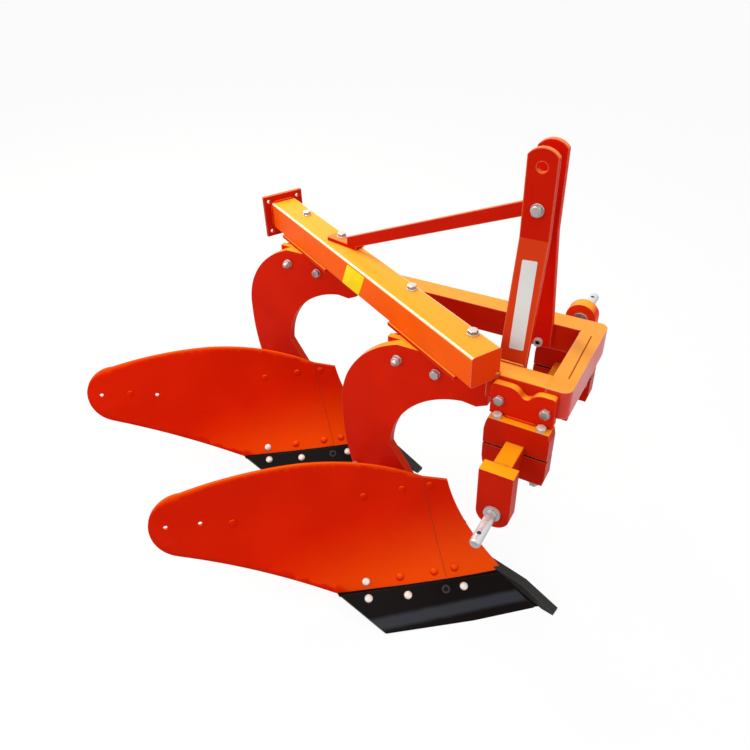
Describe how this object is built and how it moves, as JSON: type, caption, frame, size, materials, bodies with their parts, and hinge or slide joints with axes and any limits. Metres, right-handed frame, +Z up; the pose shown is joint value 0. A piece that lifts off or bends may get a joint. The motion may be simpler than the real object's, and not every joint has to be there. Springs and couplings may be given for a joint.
{
  "type": "two-furrow mounted mouldboard plough",
  "caption": "Tractor-mounted plough with a slanted box beam, hitch frame, mast, cranked cross shaft and mouldboard bodies with bar points.",
  "frame": {"origin": "on the ground under the middle of the whole plough's bounding box", "axes": "+X forward along the travel, +Y to the driver's left, +Z up"},
  "size_m": [1.5798, 1.2084, 1.242],
  "materials": {
    "red_paint": "gloss orange-red enamel",
    "black_paint": "semi-gloss black enamel",
    "zinc_plate": "bright zinc-plated steel"
  },
  "bodies": {
    "plough": {"beam_end_plate": "red_paint", "clamp_lower_left": "red_paint", "clamp_lower_right": "red_paint", "clamp_studs_left": "zinc_plate", "clamp_studs_right": "zinc_plate", "clamp_upper_left": "red_paint", "clamp_upper_right": "red_paint", "frame_front_bar": "red_paint", "frame_rail_left": "red_paint", "frame_rail_right": "red_paint", "front_bar_point": "black_paint", "front_bracket": "red_paint", "front_frog": "red_paint", "front_landside": "red_paint", "front_leg": "red_paint", "front_mouldboard": "red_paint", "front_share": "black_paint", "front_shin": "red_paint", "front_wing_stay": "red_paint", "main_beam": "red_paint", "mast_bolt": "zinc_plate", "mast_leg_left": "red_paint", "mast_leg_right": "red_paint", "rear_bar_point": "black_paint", "rear_bracket": "red_paint", "rear_frog": "red_paint", "rear_landside": "red_paint", "rear_leg": "red_paint", "rear_mouldboard": "red_paint", "rear_share": "black_paint", "rear_shin": "red_paint", "rear_wing_stay": "red_paint", "saddle_left": "red_paint", "saddle_right": "red_paint", "stay_bar": "red_paint"},
    "hitch_shaft": {"crank_left": "red_paint", "crank_right": "red_paint", "cross_shaft": "red_paint", "hitch_pin_left": "zinc_plate", "hitch_pin_right": "zinc_plate"}
  },
  "joints": [
    {"name": "cross_shaft_slide", "type": "slide", "parent": "plough", "child": "hitch_shaft", "axis": [0, 1, 0], "range_m": [-0.075, 0.075]}
  ]
}
